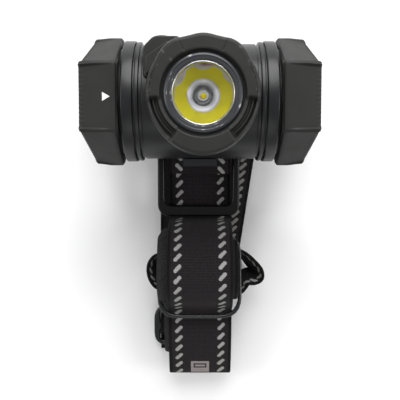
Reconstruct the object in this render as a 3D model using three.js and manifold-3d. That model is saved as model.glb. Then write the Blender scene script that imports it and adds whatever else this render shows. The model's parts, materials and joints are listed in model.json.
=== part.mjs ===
// A twin-strap headlamp lying on its back: a tube that holds three round cells crosswise, a lens
// head on its front, a cradle on its back that lets it tilt, and the elastic straps folded
// together below it. Millimetres. +X runs along the tube, +Y points to the crown strap's far
// side, +Z points out of the lens. The origin is on the table, under the tube's axis.
import * as THREE from 'three';
import { mergeVertices } from 'three/addons/utils/BufferGeometryUtils.js';
import Module from 'manifold-3d';

const wasm = await Module();
wasm.setup();

// Driving dimensions.
const GAP = 0.3;
const TUBE_HEIGHT = 35;
const TUBE_SIDES = 32;
const HEAD_X = 1;
const NECK_RADIUS = 20.2;
const NECK_HALF = 19.2;
const COLLAR_RADIUS = 21.2;
const COLLAR_HALF = 26;
const TUBE_BORE = 17.2;
const THREAD_RADIUS = 18.6;
const THREAD_HALF = 34;
const BARREL_RADIUS = 14;
const GUARD_RADIUS = 18.2;
const GUARD_BASE = 21;
const GUARD_TOP = 31.5;
const LENS_RADIUS = 11.2;
const CLEAR_RADIUS = 9.7;
const CAP_CORNER_RADIUS = 22.8;
const CAP_INNER = 27;
const CAP_OUTER = 39.9;
const CAP_BORE_END = 36.2;
const CELL_RADIUS = 7.1;
const CELL_ORBIT = 8.5;
const CELL_HALF = 25.2;
const STRAP_WIDTH = 25;
const STRAP_THICKNESS = 1.2;
const PLATE_BASE = 8.5;
const PLATE_THICKNESS = 3;
const PLATE_TOP = PLATE_BASE + PLATE_THICKNESS;
const CRADLE_BORE = NECK_RADIUS + GAP;

const HALF_STRAP = STRAP_WIDTH / 2;
const DEGREE = Math.PI / 180;

// Finishes.
const finishes = {
  anodised: { color: 0x17181a, roughness: 0.32, metalness: 0.8 },
  guard: { color: 0x3b3b3a, roughness: 0.75, metalness: 0.05 },
  ringMetal: { color: 0x55565a, roughness: 0.3, metalness: 0.9 },
  mirror: { color: 0xd8d8d8, roughness: 0.08, metalness: 1 },
  glass: { color: 0xf2f6f8, roughness: 0.03, metalness: 0 },
  rubber: { color: 0x1c1c1c, roughness: 0.8, metalness: 0 },
  plastic: { color: 0x141414, roughness: 0.5, metalness: 0 },
  board: { color: 0x1f5a35, roughness: 0.5, metalness: 0.1 },
  aluminium: { color: 0xb4b6b8, roughness: 0.35, metalness: 1 },
  contact: { color: 0xc8a45a, roughness: 0.3, metalness: 1 },
  phosphor: { color: 0xe6c81e, roughness: 0.5, metalness: 0 },
  ceramic: { color: 0xe8e8e6, roughness: 0.6, metalness: 0 },
  cellSleeve: { color: 0x8a8d92, roughness: 0.4, metalness: 0.3 },
  marking: { color: 0xe6e6e6, roughness: 0.6, metalness: 0 },
  steel: { color: 0x9a9c9f, roughness: 0.3, metalness: 1 },
  foam: { color: 0x2a2a2b, roughness: 0.95, metalness: 0 },
  webbing: { color: 0x1b1a1c, roughness: 0.9, metalness: 0 },
  buckle: { color: 0x232426, roughness: 0.35, metalness: 0.1 },
  patch: { color: 0x8b8d8c, roughness: 0.9, metalness: 0 },
};

function piece(parent, name, geometry, finish) {
  const mesh = new THREE.Mesh(geometry, new THREE.MeshStandardMaterial(finishes[finish]));
  mesh.name = name;
  parent.add(mesh);
  return mesh;
}

// Booleans.
function toSolid(geometry) {
  const bare = geometry.clone();
  bare.deleteAttribute('normal');
  bare.deleteAttribute('uv');
  const merged = mergeVertices(bare, 1e-4);
  const corners = merged.index.array;
  const triangles = [];
  for (let i = 0; i < corners.length; i += 3) {
    const [a, b, c] = [corners[i], corners[i + 1], corners[i + 2]];
    if (a !== b && b !== c && c !== a) triangles.push(a, b, c);
  }
  return new wasm.Manifold(new wasm.Mesh({
    numProp: 3,
    vertProperties: Float32Array.from(merged.attributes.position.array),
    triVerts: Uint32Array.from(triangles),
  }));
}

function toGeometry(solid) {
  const mesh = solid.getMesh();
  const geometry = new THREE.BufferGeometry();
  geometry.setAttribute('position', new THREE.BufferAttribute(mesh.vertProperties, 3));
  geometry.setIndex(new THREE.BufferAttribute(mesh.triVerts, 1));
  geometry.computeVertexNormals();
  return geometry;
}

function join(...geometries) {
  const solids = geometries.map(toSolid);
  return toGeometry(solids.reduce((whole, next) => whole.add(next)));
}

function cut(geometry, ...tools) {
  return toGeometry(tools.map(toSolid).reduce((whole, tool) => whole.subtract(tool), toSolid(geometry)));
}

function common(first, second) {
  return toGeometry(toSolid(first).intersect(toSolid(second)));
}

// Basic forms. A profile is a closed list of [radius, height] corners.
function turned(profile, sides = 28) {
  let area = 0;
  profile.forEach(([r, h], i) => {
    const [nextR, nextH] = profile[(i + 1) % profile.length];
    area += r * nextH - nextR * h;
  });
  const ordered = area > 0 ? profile : [...profile].reverse();
  const points = [...ordered, ordered[0]].map(([r, h]) => new THREE.Vector2(r, h));
  return new THREE.LatheGeometry(points, sides).rotateX(90 * DEGREE);
}

function turnedAlongX(profile, sides = TUBE_SIDES) {
  return turned(profile, sides).rotateY(90 * DEGREE);
}

function ring(innerRadius, outerRadius, from, to, sides = 28) {
  return turned([[innerRadius, from], [outerRadius, from], [outerRadius, to], [innerRadius, to]], sides);
}

function rod(radius, from, to, sides = 24) {
  return new THREE.CylinderGeometry(radius, radius, to - from, sides)
    .rotateX(90 * DEGREE)
    .translate(0, 0, (from + to) / 2);
}

function rodAlongX(radius, from, to, sides = 24) {
  return rod(radius, from, to, sides).rotateY(90 * DEGREE);
}

function block(x0, x1, y0, y1, z0, z1) {
  return new THREE.BoxGeometry(x1 - x0, y1 - y0, z1 - z0)
    .translate((x0 + x1) / 2, (y0 + y1) / 2, (z0 + z1) / 2);
}

function roundedOutline(target, x0, x1, y0, y1, radius) {
  target.moveTo(x0 + radius, y0);
  target.lineTo(x1 - radius, y0);
  target.absarc(x1 - radius, y0 + radius, radius, -Math.PI / 2, 0, false);
  target.lineTo(x1, y1 - radius);
  target.absarc(x1 - radius, y1 - radius, radius, 0, Math.PI / 2, false);
  target.lineTo(x0 + radius, y1);
  target.absarc(x0 + radius, y1 - radius, radius, Math.PI / 2, Math.PI, false);
  target.lineTo(x0, y0 + radius);
  target.absarc(x0 + radius, y0 + radius, radius, Math.PI, Math.PI * 1.5, false);
  return target;
}

function plateOf(shape, depth, curveSegments = 5) {
  return new THREE.ExtrudeGeometry(shape, { depth, bevelEnabled: false, curveSegments });
}

// Straps. A path is a list of [along, up] points; the strip is its thickened outline.
function smoothPath(points, steps) {
  const curve = new THREE.CatmullRomCurve3(points.map(([a, b]) => new THREE.Vector3(a, b, 0)), false, 'centripetal');
  return curve.getSpacedPoints(steps).map((point) => [point.x, point.y]);
}

function shifted(path, distance) {
  return path.map((point, i) => {
    const before = path[Math.max(i - 1, 0)];
    const after = path[Math.min(i + 1, path.length - 1)];
    const run = [after[0] - before[0], after[1] - before[1]];
    const length = Math.hypot(run[0], run[1]);
    return [point[0] - (run[1] / length) * distance, point[1] + (run[0] / length) * distance];
  });
}

function stripOutline(path) {
  const left = shifted(path, STRAP_THICKNESS / 2);
  const right = shifted(path, -STRAP_THICKNESS / 2).reverse();
  return new THREE.Shape([...left, ...right].map(([a, b]) => new THREE.Vector2(a, b)));
}

// The profile's first axis becomes Y, its second Z, and the width runs along X.
function stripAcrossX(path, centreX) {
  return plateOf(stripOutline(path), STRAP_WIDTH)
    .rotateX(90 * DEGREE)
    .rotateZ(90 * DEGREE)
    .translate(centreX - HALF_STRAP, 0, 0);
}

// The profile's first axis becomes X, its second Z, and the width runs along Y.
function stripAcrossY(path) {
  return plateOf(stripOutline(path), STRAP_WIDTH)
    .rotateX(90 * DEGREE)
    .translate(0, HALF_STRAP, 0);
}

function standingStrip(path, base, height) {
  return plateOf(stripOutline(path), height).translate(0, 0, base);
}

function layer(corners, base) {
  const shape = new THREE.Shape(corners.map(([x, y]) => new THREE.Vector2(x, y)));
  return plateOf(shape, STRAP_THICKNESS).translate(0, 0, base);
}

// ---- Lamp -------------------------------------------------------------------------------

function bodyTube() {
  const half = [
    [NECK_RADIUS, 0], [NECK_RADIUS, NECK_HALF], [NECK_RADIUS - 0.5, NECK_HALF], [NECK_RADIUS - 0.5, 20.2],
    [COLLAR_RADIUS - 0.3, 20.2], [COLLAR_RADIUS - 0.3, 21.6], [NECK_RADIUS, 21.6], [NECK_RADIUS, 22.1],
    [COLLAR_RADIUS, 22.1], [COLLAR_RADIUS, COLLAR_HALF], [THREAD_RADIUS, COLLAR_HALF], [THREAD_RADIUS, THREAD_HALF],
  ];
  const outside = [...half.map(([r, x]) => [r, -x]).reverse().slice(0, -1), ...half.slice(1)];
  const profile = [...outside, [TUBE_BORE, THREAD_HALF], [TUBE_BORE, -THREAD_HALF]];
  return cut(turnedAlongX(profile), rod(9.5, 10, 24, 28).translate(HEAD_X, 0, 0));
}

function tubeSpace(radius = NECK_RADIUS + GAP) {
  return rodAlongX(radius, -30, 30, TUBE_SIDES);
}

function headHousing() {
  const barrel = rod(BARREL_RADIUS, 12, 29.3, 28);
  return cut(barrel, tubeSpace(), rod(LENS_RADIUS + 0.4, 10, 28.8, 28), rod(12.6, 28.6, 31, 28));
}

// Three recesses between the lobes leave the guard's rim lower there.
function bezelGuard() {
  const ringBody = turned([
    [BARREL_RADIUS + GAP, GUARD_BASE], [GUARD_RADIUS, GUARD_BASE], [GUARD_RADIUS, GUARD_TOP],
    [13, GUARD_TOP], [13, 29.7], [BARREL_RADIUS + GAP, 29.7],
  ], 36);
  const recesses = [90, 210, 330].map((angle) => {
    const sector = new THREE.Shape();
    sector.absarc(0, 0, 20, (angle - 22) * DEGREE, (angle + 22) * DEGREE, false);
    sector.lineTo(0, 0);
    return plateOf(sector, 5, 6).translate(0, 0, 29.2);
  });
  return cut(ringBody, tubeSpace(), ...recesses);
}

function reflector() {
  const throatRadius = 3.4;
  const throat = 21.4;
  const mouth = 26.8;
  const wall = 0.6;
  const steps = 5;
  const inside = [];
  for (let i = 0; i <= steps; i += 1) {
    const radius = throatRadius + ((CLEAR_RADIUS - throatRadius) * i) / steps;
    const rise = (radius ** 2 - throatRadius ** 2) / (CLEAR_RADIUS ** 2 - throatRadius ** 2);
    inside.push([radius, throat + (mouth - throat) * rise]);
  }
  const outside = inside.map(([r, h]) => [r + wall, h - 0.1]).reverse();
  outside[outside.length - 1][1] = throat;
  return turned([...inside, [LENS_RADIUS, mouth], [LENS_RADIUS, mouth - 0.7], ...outside.slice(1)], 28);
}

function ledBase() {
  return block(-1.75, 1.75, -1.75, 1.75, 20.9, 21.5);
}

function ledDome() {
  const dome = [[0, 21.8]];
  for (let angle = 0; angle < 90; angle += 22.5) {
    dome.push([1.3 * Math.cos(angle * DEGREE), 21.8 + 0.9 * Math.sin(angle * DEGREE)]);
  }
  return turned([...dome, [0, 22.7]], 16);
}

const SWITCH_X = -12.6;
const SWITCH_Z = 15.9;

function switchHousing() {
  const pocket = new THREE.CylinderGeometry(3.4, 3.4, 6, 24).translate(SWITCH_X, 18.6, SWITCH_Z);
  const body = block(-18.8, -6.4, 6, 19.6, 9.5, GUARD_BASE - GAP);
  const chamfer = new THREE.BoxGeometry(6, 6, 30).rotateZ(45 * DEGREE).translate(-20.4, 21.2, 15);
  return cut(body, chamfer, tubeSpace(), rod(BARREL_RADIUS + GAP, 0, 30, 28).translate(HEAD_X, 0, 0), pocket);
}

function switchButton() {
  return new THREE.CylinderGeometry(2.7, 3.1, 1.9, 24).translate(SWITCH_X, 19.05, SWITCH_Z);
}

function tactileSwitch() {
  return new THREE.CylinderGeometry(1.1, 1.6, 0.6, 12).translate(SWITCH_X, 16.8, SWITCH_Z);
}

function switchBoard() {
  return new THREE.CylinderGeometry(2.8, 2.8, 0.4, 24).translate(SWITCH_X, 16, SWITCH_Z);
}

// ---- Battery ----------------------------------------------------------------------------

function batteryCartridge() {
  const disc = (from, to) => rodAlongX(16.2, from, to, 30);
  const rails = [30, 150, 270].map((angle) => rodAlongX(2.2, -27, 27, 12)
    .translate(0, 13.8 * Math.cos(angle * DEGREE), 13.8 * Math.sin(angle * DEGREE)));
  return join(disc(26.4, 28), disc(-28, -26.4), ...rails);
}

function cell(angle) {
  const profile = [
    [0, -CELL_HALF], [CELL_RADIUS - 0.4, -CELL_HALF], [CELL_RADIUS, -CELL_HALF + 0.4],
    [CELL_RADIUS, CELL_HALF - 1.6], [CELL_RADIUS - 0.6, CELL_HALF - 1], [2.7, CELL_HALF - 1],
    [2.7, CELL_HALF], [0, CELL_HALF],
  ];
  return turnedAlongX(profile, 20)
    .translate(0, CELL_ORBIT * Math.cos(angle * DEGREE), CELL_ORBIT * Math.sin(angle * DEGREE));
}

function contactSpring() {
  class ConeCoil extends THREE.Curve {
    getPoint(t, target = new THREE.Vector3()) {
      const turns = 2.5;
      const radius = 5 - 2.4 * t;
      const angle = t * turns * 2 * Math.PI;
      return target.set(28.8 + 5 * (1 - t), radius * Math.cos(angle), radius * Math.sin(angle));
    }
  }
  const wire = new THREE.Shape();
  wire.absarc(0, 0, 0.4, 0, 2 * Math.PI, false);
  return new THREE.ExtrudeGeometry(wire, {
    steps: 26, curveSegments: 3, bevelEnabled: false, extrudePath: new ConeCoil(),
  });
}

// ---- End caps ---------------------------------------------------------------------------

// A cap for the +X end: a hexagonal cup with a scoop in the outer end of each flat.
function endCap() {
  const corners = [];
  for (let i = 0; i < 6; i += 1) {
    const angle = i * 60 * DEGREE;
    corners.push(new THREE.Vector2(CAP_CORNER_RADIUS * Math.sin(angle), CAP_CORNER_RADIUS * Math.cos(angle)));
  }
  const prism = plateOf(new THREE.Shape(corners), CAP_OUTER - CAP_INNER)
    .rotateZ(90 * DEGREE)
    .rotateY(90 * DEGREE)
    .rotateX(90 * DEGREE)
    .translate(CAP_INNER, 0, 0);
  const envelope = turnedAlongX([
    [0, CAP_INNER - 1], [21.9, CAP_INNER - 1], [23.2, CAP_INNER + 1], [23.2, CAP_OUTER - 3.6],
    [20.6, CAP_OUTER + 0.1], [0, CAP_OUTER + 0.1],
  ]);
  const flat = CAP_CORNER_RADIUS * Math.cos(30 * DEGREE);
  const scoops = [0, 60, 120, 180, 240, 300].map((angle) => new THREE.BoxGeometry(14, 15, 4)
    .rotateY(9 * DEGREE)
    .translate(CAP_OUTER - 2.6, 0, flat + 1.35)
    .rotateX(angle * DEGREE));
  const bore = rodAlongX(THREAD_RADIUS + GAP, CAP_INNER - 2, CAP_BORE_END, TUBE_SIDES);
  return cut(common(prism, envelope), bore, ...scoops);
}

function capSeal() {
  return turnedAlongX([[17.6, 34.4], [18.5, 34.4], [18.5, 35.8], [17.6, 35.8]]);
}

function contactBoard() {
  return rodAlongX(17.2, 34.6, 35.8, 30);
}

function openMark() {
  const arrow = new THREE.Shape([
    new THREE.Vector2(0, -1.5), new THREE.Vector2(2.6, 0), new THREE.Vector2(0, 1.5),
  ]);
  return plateOf(arrow, 0.15).translate(-32, 0, CAP_CORNER_RADIUS * Math.cos(30 * DEGREE) + 0.05);
}

function mirroredX(geometry) {
  return geometry.rotateZ(180 * DEGREE);
}

// ---- Bracket ----------------------------------------------------------------------------

const SLOT_INNER = 16.5;
const SLOT_OUTER = 19.5;
const PLATE_HALF = 22.3;
const LOOP_LEFT = -17;
const LOOP_RIGHT = 15.8;
const LOOP_END = -43.3;
const SCREW_X = 8;
const SCREW_Y = 6;

function strapPlate() {
  const outline = roundedOutline(new THREE.Shape(), -PLATE_HALF, PLATE_HALF, -15.5, 15.5, 3);
  const plate = plateOf(outline, PLATE_THICKNESS);
  const loop = plateOf(roundedOutline(new THREE.Shape(), LOOP_LEFT, LOOP_RIGHT, LOOP_END, -10, 4.6), PLATE_THICKNESS, 6);
  const window = plateOf(
    roundedOutline(new THREE.Shape(), LOOP_LEFT + 2.8, LOOP_RIGHT - 2.8, LOOP_END + 4.5, -17.3, 3), 9, 6,
  ).translate(0, 0, -3);
  const crownSlot = block(-13.4, 13.4, -13.8, -10.8, -3, 6);
  const sideSlots = [-1, 1].map((side) => {
    const centre = (side * (SLOT_INNER + SLOT_OUTER)) / 2;
    return block(centre - 1.5, centre + 1.5, -13, 13, -3, 6);
  });
  const bores = [];
  for (const x of [-SCREW_X, SCREW_X]) {
    for (const y of [-SCREW_Y, SCREW_Y]) {
      bores.push(rod(1.5, -1, 5, 14).translate(x, y, 0));
      bores.push(rod(2.8, -1, 1.5, 18).translate(x, y, 0));
    }
  }
  return cut(join(plate, loop), window, crownSlot, ...sideSlots, ...bores).translate(0, 0, PLATE_BASE);
}

function cradle() {
  const wall = 2.4;
  const sleeve = turnedAlongX([
    [CRADLE_BORE, -6], [CRADLE_BORE + wall, -6], [CRADLE_BORE + wall, 6], [CRADLE_BORE, 6],
  ], 48);
  const foot = block(-11, 11, -9, 9, PLATE_TOP + GAP - TUBE_HEIGHT, -18);
  const bores = [];
  for (const x of [-SCREW_X, SCREW_X]) {
    for (const y of [-SCREW_Y, SCREW_Y]) {
      bores.push(rod(1.5, -24, -21.6, 14).translate(x, y, 0));
    }
  }
  const open = block(-20, 20, -30, 30, 2, 40);
  return cut(join(sleeve, foot), open, rodAlongX(CRADLE_BORE, -20, 20, 48), ...bores).translate(0, 0, TUBE_HEIGHT);
}

function cradleScrew(x, y) {
  const head = rod(2.5, PLATE_BASE + 0.2, PLATE_BASE + 1.2, 18);
  return join(head, rod(1.2, PLATE_BASE + 1, PLATE_TOP + 1.6, 14)).translate(x, y, 0);
}

function foreheadPad() {
  return plateOf(roundedOutline(new THREE.Shape(), -15.2, 15.2, -9.8, 13.6, 3), 2.2).translate(0, 0, 6);
}

// ---- Straps -----------------------------------------------------------------------------

// The crown strap, from its hem over the bracket's inner bar to its fold at the far end.
const crownRoute = smoothPath([
  [-26, 11.2], [-22, 12.1], [-18, 12.5], [-14.8, 12.7], [-13.2, 12.1], [-12.5, 10.6], [-12.6, 8.4], [-13.6, 7.1],
  [-16, 6.6], [-22, 6.5], [-30, 6.5], [-38.5, 6.6], [-42.6, 6.9], [-44.7, 8.4], [-45.3, 13], [-46.2, 17.5],
  [-48.4, 22], [-52, 26], [-57, 29.6], [-62.5, 31.4], [-68, 31.2], [-73, 28.4], [-76.2, 24.2], [-78.6, 20],
  [-82, 17.8], [-86, 17.2], [-90, 16.6], [-97, 14.7], [-103, 12.2], [-106.6, 10.4], [-107.8, 8.9], [-106.8, 7.5],
  [-104.6, 7.6],
], 104);
const crownLoopStart = crownRoute.findIndex(([, up], i) => i > 40 && up > 17.5);
const crownLoopEnd = crownRoute.findIndex(([along]) => along < -101);

function crownStrap() {
  return stripAcrossX(crownRoute, 0);
}

// The doubled layer lies inside the crown strap and leans out to the left of it.
function crownReturn() {
  const inner = shifted(crownRoute, 1.75).slice(crownLoopStart, crownLoopEnd);
  return stripAcrossX(inner, -1.7);
}

function labelPatch() {
  const start = crownRoute.findIndex(([along]) => along < -101.8);
  const [y0, z0] = crownRoute[start];
  const [y1, z1] = crownRoute[start + 2];
  const lean = Math.atan2(z0 - z1, y0 - y1);
  return new THREE.BoxGeometry(7.4, 4, 0.3)
    .translate(0, 0, STRAP_THICKNESS / 2 + 0.75)
    .rotateX(lean)
    .translate(0, (y0 + y1) / 2, (z0 + z1) / 2);
}

// Each half of the headband loops over its slot's outer bar, runs in behind the plate, and
// folds along a diagonal to run down beside the crown strap.
const headbandRight = { foldX: 10, before: 4.5, after: 3 };
const headbandLeft = { foldX: -4, before: 1.5, after: 0 };

function slotWrap(side, height) {
  const outer = PLATE_HALF + 0.9;
  const path = smoothPath([
    [17.9, 7.2], [17.9, 10], [18.3, 11.8], [19.8, PLATE_TOP + 1], [21.8, PLATE_TOP + 1.1],
    [outer + 0.1, 11.9], [outer + 0.3, 9.6], [outer + 0.2, height + 3.2], [outer - 0.6, height + 1.2],
    [outer - 2.2, height + 0.6], [18, height + 0.6],
  ], 26);
  return stripAcrossY(path.map(([x, z]) => [side * x, z]).reverse());
}

function diagonalFold(side, { foldX, before, after }) {
  const nearEdge = foldX + side * HALF_STRAP;
  const farEdge = foldX - side * HALF_STRAP;
  const top = Math.max(before, after) + STRAP_THICKNESS;
  const startX = side * Math.max(21, side * nearEdge + 0.3);
  const inward = layer([
    [startX, HALF_STRAP], [nearEdge, HALF_STRAP], [farEdge, -HALF_STRAP], [startX, -HALF_STRAP],
  ], before);
  const downward = layer([
    [nearEdge, HALF_STRAP], [farEdge, -HALF_STRAP], [farEdge, -HALF_STRAP - 3], [nearEdge, -HALF_STRAP - 3],
  ], after);
  const crease = plateOf(new THREE.Shape([
    new THREE.Vector2(nearEdge, HALF_STRAP), new THREE.Vector2(farEdge, -HALF_STRAP),
    new THREE.Vector2(farEdge - side * 1.2, -HALF_STRAP), new THREE.Vector2(nearEdge - side * 1.2, HALF_STRAP),
  ]), top - after).translate(0, 0, after);
  return [inward, downward, crease];
}

// The right half tips down until its outer edge lies on the table.
function rightRun() {
  const length = 38;
  const slant = Math.tan(8.7 * DEGREE);
  const settled = 7;
  const edgeDrop = 2.7;
  const run = new THREE.BoxGeometry(STRAP_WIDTH, length, STRAP_THICKNESS, 2, 14, 1)
    .translate(0, -length / 2, 0);
  const position = run.attributes.position;
  for (let i = 0; i < position.count; i += 1) {
    const [x, y, z] = [position.getX(i), position.getY(i), position.getZ(i)];
    const progress = Math.min(-y / settled, 1);
    const across = (x + HALF_STRAP) / STRAP_WIDTH;
    const lift = headbandRight.after + STRAP_THICKNESS / 2 - edgeDrop * across * progress;
    position.setXYZ(i, headbandRight.foldX + x + slant * Math.min(y + settled, 0), y - HALF_STRAP - 2, z + lift);
  }
  return run;
}

function headbandRightHalf() {
  return join(slotWrap(1, headbandRight.before), ...diagonalFold(1, headbandRight), rightRun());
}

// The left half runs on flat to its slide buckle and through it.
const BUCKLE_Y = -90;

function headbandLeftHalf() {
  const run = smoothPath([
    [-HALF_STRAP - 2, 0.6], [-30, 0.6], [-50, 0.6], [-70, 0.6], [-80, 0.6], [BUCKLE_Y + 6.6, 0.65], [BUCKLE_Y + 4.2, 1.5],
    [BUCKLE_Y + 3, 3.7], [BUCKLE_Y + 1.2, 5.1], [BUCKLE_Y - 1.2, 5.1], [BUCKLE_Y - 3, 3.7], [BUCKLE_Y - 4.2, 1.5],
    [BUCKLE_Y - 6.6, 0.65], [-99, 0.6], [-103, 0.6],
  ], 48);
  return join(
    slotWrap(-1, headbandLeft.before),
    ...diagonalFold(-1, headbandLeft),
    stripAcrossX(run, headbandLeft.foldX),
  );
}

function standingFolds() {
  const path = smoothPath([
    [11.5, -60.2], [4, -60.8], [-5, -60.4], [-10.5, -61.4], [-12, -64.8], [-10.5, -68.2], [-5, -69], [4, -68.6], [11.5, -69.2],
  ], 26);
  return standingStrip(path, 1.6, STRAP_WIDTH);
}

function leftBulge() {
  const path = smoothPath([
    [-14, -58], [-17.4, -58.8], [-19.4, -61.4], [-19.8, -64.6], [-19, -68], [-17, -70.8], [-14, -71.6],
  ], 16);
  return standingStrip(path, 1.6, 15.6);
}

function rightBulge() {
  const path = smoothPath([
    [13.4, -56], [17, -57.6], [21, -61.2], [23.8, -65], [23.9, -67.6], [21.8, -68.9], [19, -69.2],
    [17.6, -71.2], [16.2, -73], [13.4, -73.2],
  ], 24);
  return standingStrip(path, 1.6, 15.2);
}

// The thin crown ring lies tilted, over the standing folds.
function crownRing() {
  const outer = roundedOutline(new THREE.Shape(), -16.4, 16.4, -16.5, 16.5, 5);
  outer.holes.push(roundedOutline(new THREE.Path(), -14.4, 14.4, -14.4, 14.4, 3.4));
  return plateOf(outer, 2.2, 6)
    .translate(0, 0, -1.1)
    .rotateX(-7.7 * DEGREE)
    .translate(-0.2, -65.8, 19.6);
}

function slideBuckle() {
  const outer = roundedOutline(new THREE.Shape(), -15.2, 15.2, -8.4, 8.4, 3.4);
  const near = roundedOutline(new THREE.Path(), -13, 13, 1.3, 6.2, 0.9);
  const far = roundedOutline(new THREE.Path(), -13, 13, -6.2, -1.3, 0.9);
  outer.holes.push(near, far);
  return plateOf(outer, 2.2, 5).translate(headbandLeft.foldX, BUCKLE_Y, 1.7);
}

// ---- Assembly ---------------------------------------------------------------------------

const headlamp = new THREE.Group();
const lamp = new THREE.Group();
lamp.position.z = TUBE_HEIGHT;
headlamp.add(lamp);

// The light's head sits a little to the right of the tube's middle.
const head = new THREE.Group();
head.position.x = HEAD_X;
lamp.add(head);

piece(lamp, 'body_tube', bodyTube(), 'anodised');
piece(head, 'head_housing', headHousing(), 'anodised');
piece(head, 'bezel_guard', bezelGuard(), 'guard');
piece(head, 'lens_ring', ring(CLEAR_RADIUS, 12.3, 29.7, 30.8, 36), 'ringMetal');
piece(head, 'lens_seal', ring(CLEAR_RADIUS + 0.6, LENS_RADIUS, 28.8, 29.4, 28), 'rubber');
piece(head, 'lens', rod(LENS_RADIUS, 27.1, 28.5, 36), 'glass');
piece(head, 'reflector', reflector(), 'mirror');
piece(head, 'led_insulator', ring(2.6, 3.2, 20.9, 22, 24), 'ceramic');
piece(head, 'led_base', ledBase(), 'ceramic');
piece(head, 'led_dome', ledDome(), 'phosphor');
piece(head, 'led_board', rod(9, 19.7, 20.6, 28), 'ceramic');
piece(head, 'heat_sink', rod(9, 18, 19.4, 28), 'aluminium');
piece(head, 'driver_board', rod(8.8, 16.8, 17.6, 28), 'board');
piece(lamp, 'switch_housing', switchHousing(), 'guard');
piece(lamp, 'switch_button', switchButton(), 'rubber');
piece(lamp, 'tactile_switch', tactileSwitch(), 'steel');
piece(lamp, 'switch_board', switchBoard(), 'board');
piece(lamp, 'battery_cartridge', batteryCartridge(), 'plastic');
[90, 210, 330].forEach((angle, i) => piece(lamp, `cell_${i + 1}`, cell(angle), 'cellSleeve'));
piece(lamp, 'contact_strip_right', rodAlongX(11.2, 25.6, 26, 24), 'contact');
piece(lamp, 'contact_strip_left', rodAlongX(11.2, -26, -25.6, 24), 'contact');
piece(lamp, 'right_end_cap', endCap(), 'guard');
piece(lamp, 'right_cap_seal', capSeal(), 'rubber');
piece(lamp, 'right_contact_board', contactBoard(), 'board');
piece(lamp, 'right_contact_spring', contactSpring(), 'contact');
piece(lamp, 'left_end_cap', mirroredX(endCap()), 'guard');
piece(lamp, 'left_cap_seal', mirroredX(capSeal()), 'rubber');
piece(lamp, 'left_contact_board', mirroredX(contactBoard()), 'board');
piece(lamp, 'left_contact_spring', mirroredX(contactSpring()), 'contact');
piece(lamp, 'open_mark', openMark(), 'marking');

piece(headlamp, 'strap_plate', strapPlate(), 'plastic');
piece(headlamp, 'cradle', cradle(), 'plastic');
let screwNumber = 0;
for (const x of [-SCREW_X, SCREW_X]) {
  for (const y of [-SCREW_Y, SCREW_Y]) {
    screwNumber += 1;
    piece(headlamp, `cradle_screw_${screwNumber}`, cradleScrew(x, y), 'steel');
  }
}
piece(headlamp, 'forehead_pad', foreheadPad(), 'foam');
piece(headlamp, 'crown_strap', crownStrap(), 'webbing');
piece(headlamp, 'crown_strap_return', crownReturn(), 'webbing');
piece(headlamp, 'label_patch', labelPatch(), 'patch');
piece(headlamp, 'headband_right', headbandRightHalf(), 'webbing');
piece(headlamp, 'headband_left', headbandLeftHalf(), 'webbing');
piece(headlamp, 'headband_folds', standingFolds(), 'webbing');
piece(headlamp, 'headband_left_bulge', leftBulge(), 'webbing');
piece(headlamp, 'headband_right_bulge', rightBulge(), 'webbing');
piece(headlamp, 'crown_ring', crownRing(), 'buckle');
piece(headlamp, 'slide_buckle', slideBuckle(), 'buckle');

export default headlamp;
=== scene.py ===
"""A headlamp on its folded head straps.

A tube body with two hexagonal end caps carries the light in its middle. It stands on a strap
plate, and the crown strap and the two halves of the headband lie folded away behind the plate.
Lengths are in millimetres until a mesh is made; the lamp's own lengths count from its tube's axis.
"""

import json
import math

import bmesh
import bpy
import numpy as np
from mathutils import Matrix, Vector


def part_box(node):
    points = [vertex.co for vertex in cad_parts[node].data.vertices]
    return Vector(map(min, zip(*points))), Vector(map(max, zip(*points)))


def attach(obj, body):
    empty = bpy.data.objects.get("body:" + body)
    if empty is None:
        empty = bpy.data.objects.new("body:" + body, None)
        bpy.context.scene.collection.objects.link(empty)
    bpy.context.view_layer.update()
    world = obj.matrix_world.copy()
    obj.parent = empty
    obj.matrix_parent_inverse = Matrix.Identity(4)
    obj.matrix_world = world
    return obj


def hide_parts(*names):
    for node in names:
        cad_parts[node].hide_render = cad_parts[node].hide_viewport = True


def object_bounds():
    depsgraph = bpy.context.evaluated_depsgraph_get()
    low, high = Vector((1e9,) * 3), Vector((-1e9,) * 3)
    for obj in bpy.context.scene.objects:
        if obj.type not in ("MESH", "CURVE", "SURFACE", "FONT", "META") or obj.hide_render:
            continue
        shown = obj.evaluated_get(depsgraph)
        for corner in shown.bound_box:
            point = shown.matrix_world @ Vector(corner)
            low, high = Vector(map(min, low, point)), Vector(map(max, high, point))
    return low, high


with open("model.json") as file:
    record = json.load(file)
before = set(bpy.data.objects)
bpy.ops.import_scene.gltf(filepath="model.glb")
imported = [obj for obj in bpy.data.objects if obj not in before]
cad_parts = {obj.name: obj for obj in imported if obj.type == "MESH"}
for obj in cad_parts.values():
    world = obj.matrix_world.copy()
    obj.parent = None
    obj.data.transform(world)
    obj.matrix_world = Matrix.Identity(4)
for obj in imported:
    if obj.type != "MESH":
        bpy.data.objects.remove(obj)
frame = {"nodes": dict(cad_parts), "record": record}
cad_low, cad_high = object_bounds()
MM = 0.001


def node_box(node):
    """The lowest and highest corner of a CAD node, in millimetres."""
    low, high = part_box(node)
    return low / MM, high / MM


tube_low, tube_high = node_box("body_tube")
AXIS_Z = (tube_low.z + tube_high.z) / 2
HEAD_X = sum(corner.x for corner in node_box("lens")) / 2
strap_low, strap_high = node_box("crown_strap")
STRAP_WIDTH = strap_high.x - strap_low.x
HALF_STRAP = STRAP_WIDTH / 2
STRAP_THICKNESS = 1.15
DASH_COLUMN = 8.4


# ---- Shapes ----------------------------------------------------------------------------------


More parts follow.
